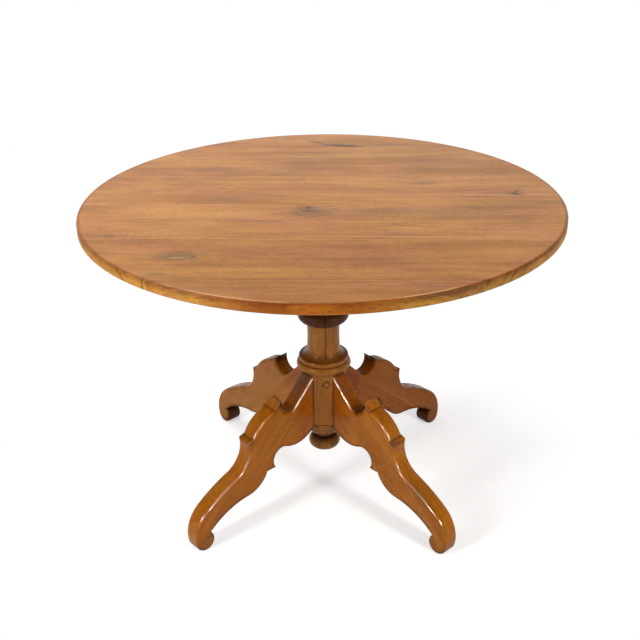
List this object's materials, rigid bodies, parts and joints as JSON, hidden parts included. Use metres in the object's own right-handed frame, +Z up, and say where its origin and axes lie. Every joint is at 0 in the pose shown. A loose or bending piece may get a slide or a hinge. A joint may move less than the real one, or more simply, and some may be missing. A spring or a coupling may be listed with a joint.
{
  "type": "round pedestal table",
  "caption": "Round plank-topped pedestal table on a turned column with scrolled legs and a drop finial, for sitting at.",
  "frame": {"origin": "on the floor, under the middle of the column", "axes": "+Z up, the planks of the top run along X, -Y is the side that the picture shows, between the two front legs"},
  "size_m": [1.06, 1.06, 0.74],
  "materials": {
    "top_wood": "satin varnish over streaky honey-brown grain with knots",
    "column_wood": "gloss varnish over turned amber-brown wood",
    "leg_wood": "satin varnish over sawn amber-brown wood, edges rubbed lighter",
    "peg_wood": "varnished end grain",
    "underside_wood": "bare, darkened by age",
    "screw_metal": "dull steel"
  },
  "bodies": {
    "root": {"top_plank_1": "top_wood", "top_plank_2": "top_wood", "top_plank_3": "top_wood", "top_plank_4": "top_wood", "top_plank_5": "top_wood", "top_plank_6": "top_wood", "batten_left": "underside_wood", "batten_right": "underside_wood", "batten_screws": "screw_metal", "bearer_disc": "underside_wood", "bearer_screws": "screw_metal", "column": "column_wood", "spigot_wedge": "peg_wood", "drop_finial": "column_wood", "leg_front_left": "leg_wood", "leg_front_right": "leg_wood", "leg_rear_left": "leg_wood", "leg_rear_right": "leg_wood", "leg_peg_front": "peg_wood", "leg_peg_right": "peg_wood", "leg_peg_rear": "peg_wood", "leg_peg_left": "peg_wood"}
  },
  "joints": []
}
